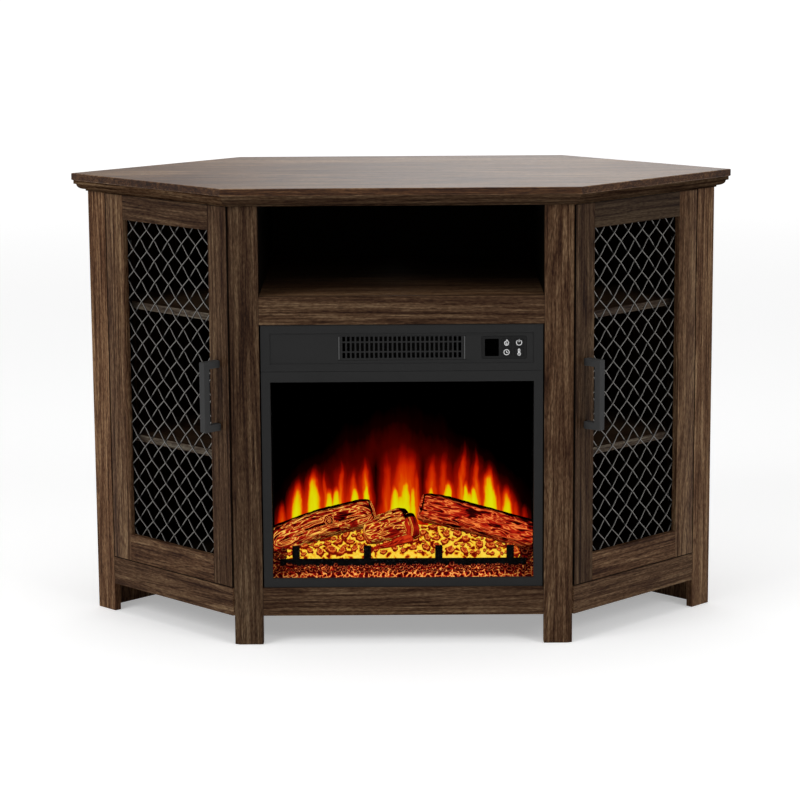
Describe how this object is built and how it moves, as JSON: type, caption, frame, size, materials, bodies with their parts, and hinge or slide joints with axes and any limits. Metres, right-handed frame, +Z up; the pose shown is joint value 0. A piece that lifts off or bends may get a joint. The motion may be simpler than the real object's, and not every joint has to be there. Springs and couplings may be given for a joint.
{
  "type": "fireplace tv stand",
  "caption": "Corner television stand with an electric fireplace insert, an open media shelf and angled doors of diamond wire mesh at both sides.",
  "frame": {"origin": "on the floor, in the middle of the stand's width and depth", "axes": "+X to the viewer's right along the front, +Y from the front to the back, +Z up"},
  "size_m": [1.123, 0.5418, 0.762],
  "materials": {
    "wood_laminate": "dark brown laminate with a fine grain",
    "top_laminate": "dark brown laminate with a satin sheen",
    "hardboard": "thin hardboard",
    "wire": "grey crimped wire",
    "handle_metal": "dark grey satin",
    "hinge_steel": "nickel plated",
    "trim_metal": "matt charcoal",
    "control_plastic": "satin black with light printed symbols",
    "clear_glass": "clear tempered glass",
    "black_sheet": "matt black",
    "screen_plastic": "dark screen that the flame picture falls on",
    "log_resin": "painted bark, lit from inside",
    "ember_resin": "translucent orange coals, lit from below",
    "grate_plastic": "matt black",
    "rotor_foil": "bright foil fins",
    "blower_plastic": "matt black",
    "heater_ceramic": "ribbed ceramic with metal ends",
    "gland_rubber": "matt black"
  },
  "bodies": {
    "stand": {"top_board": "top_laminate", "crown_moulding_front": "wood_laminate", "crown_moulding_left": "wood_laminate", "crown_moulding_right": "wood_laminate", "bottom_board": "wood_laminate", "back_panel": "hardboard", "media_shelf": "wood_laminate", "shelf_rail": "wood_laminate", "base_rail_front": "wood_laminate", "front_leg_left": "wood_laminate", "partition_left": "wood_laminate", "rear_leg_left": "wood_laminate", "side_panel_left": "wood_laminate", "base_rail_left": "wood_laminate", "lower_shelf_left": "wood_laminate", "upper_shelf_left": "wood_laminate", "upper_hinge_arm_left": "hinge_steel", "lower_hinge_arm_left": "hinge_steel", "front_leg_right": "wood_laminate", "partition_right": "wood_laminate", "rear_leg_right": "wood_laminate", "side_panel_right": "wood_laminate", "base_rail_right": "wood_laminate", "lower_shelf_right": "wood_laminate", "upper_shelf_right": "wood_laminate", "upper_hinge_arm_right": "hinge_steel", "lower_hinge_arm_right": "hinge_steel", "trim_frame": "trim_metal", "outlet_grille": "trim_metal", "control_plate": "control_plastic", "glass_panel": "clear_glass", "casing": "black_sheet", "flame_screen": "screen_plastic", "log_set": "log_resin", "ember_bed": "ember_resin", "fire_grate": "grate_plastic", "heating_element": "heater_ceramic", "power_inlet": "gland_rubber"},
    "door_left": {"lock_stile_left": "wood_laminate", "hinge_stile_left": "wood_laminate", "door_top_rail_left": "wood_laminate", "door_bottom_rail_left": "wood_laminate", "wire_mesh_left": "wire", "door_handle_left": "handle_metal", "upper_hinge_cup_left": "hinge_steel", "lower_hinge_cup_left": "hinge_steel"},
    "door_right": {"lock_stile_right": "wood_laminate", "hinge_stile_right": "wood_laminate", "door_top_rail_right": "wood_laminate", "door_bottom_rail_right": "wood_laminate", "wire_mesh_right": "wire", "door_handle_right": "handle_metal", "upper_hinge_cup_right": "hinge_steel", "lower_hinge_cup_right": "hinge_steel"},
    "flame_key": {"flame_key": "control_plastic"},
    "power_key": {"power_key": "control_plastic"},
    "timer_key": {"timer_key": "control_plastic"},
    "heat_key": {"heat_key": "control_plastic"},
    "flame_rotor": {"flame_rotor": "rotor_foil"},
    "blower_wheel": {"blower_wheel": "blower_plastic"}
  },
  "joints": [
    {"name": "door_left_hinge", "type": "hinge", "parent": "stand", "child": "door_left", "pos_m": [-0.502, -0.0283, 0.4141], "axis": [0, 0, -1], "range_deg": [0, 105]},
    {"name": "door_right_hinge", "type": "hinge", "parent": "stand", "child": "door_right", "pos_m": [0.502, -0.0283, 0.4141], "axis": [0, 0, 1], "range_deg": [0, 105]},
    {"name": "flame_key_press", "type": "slide", "parent": "stand", "child": "flame_key", "axis": [0, 1, 0], "range_m": [0, 0.0008], "stiffness_N_per_m": 600},
    {"name": "power_key_press", "type": "slide", "parent": "stand", "child": "power_key", "axis": [0, 1, 0], "range_m": [0, 0.0008], "stiffness_N_per_m": 600},
    {"name": "timer_key_press", "type": "slide", "parent": "stand", "child": "timer_key", "axis": [0, 1, 0], "range_m": [0, 0.0008], "stiffness_N_per_m": 600},
    {"name": "heat_key_press", "type": "slide", "parent": "stand", "child": "heat_key", "axis": [0, 1, 0], "range_m": [0, 0.0008], "stiffness_N_per_m": 600},
    {"name": "flame_rotor_spin", "type": "hinge", "parent": "stand", "child": "flame_rotor", "pos_m": [0, -0.1176, 0.1668], "axis": [1, 0, 0], "continuous": true},
    {"name": "blower_wheel_spin", "type": "hinge", "parent": "stand", "child": "blower_wheel", "pos_m": [0, -0.1566, 0.4865], "axis": [1, 0, 0], "continuous": true}
  ]
}
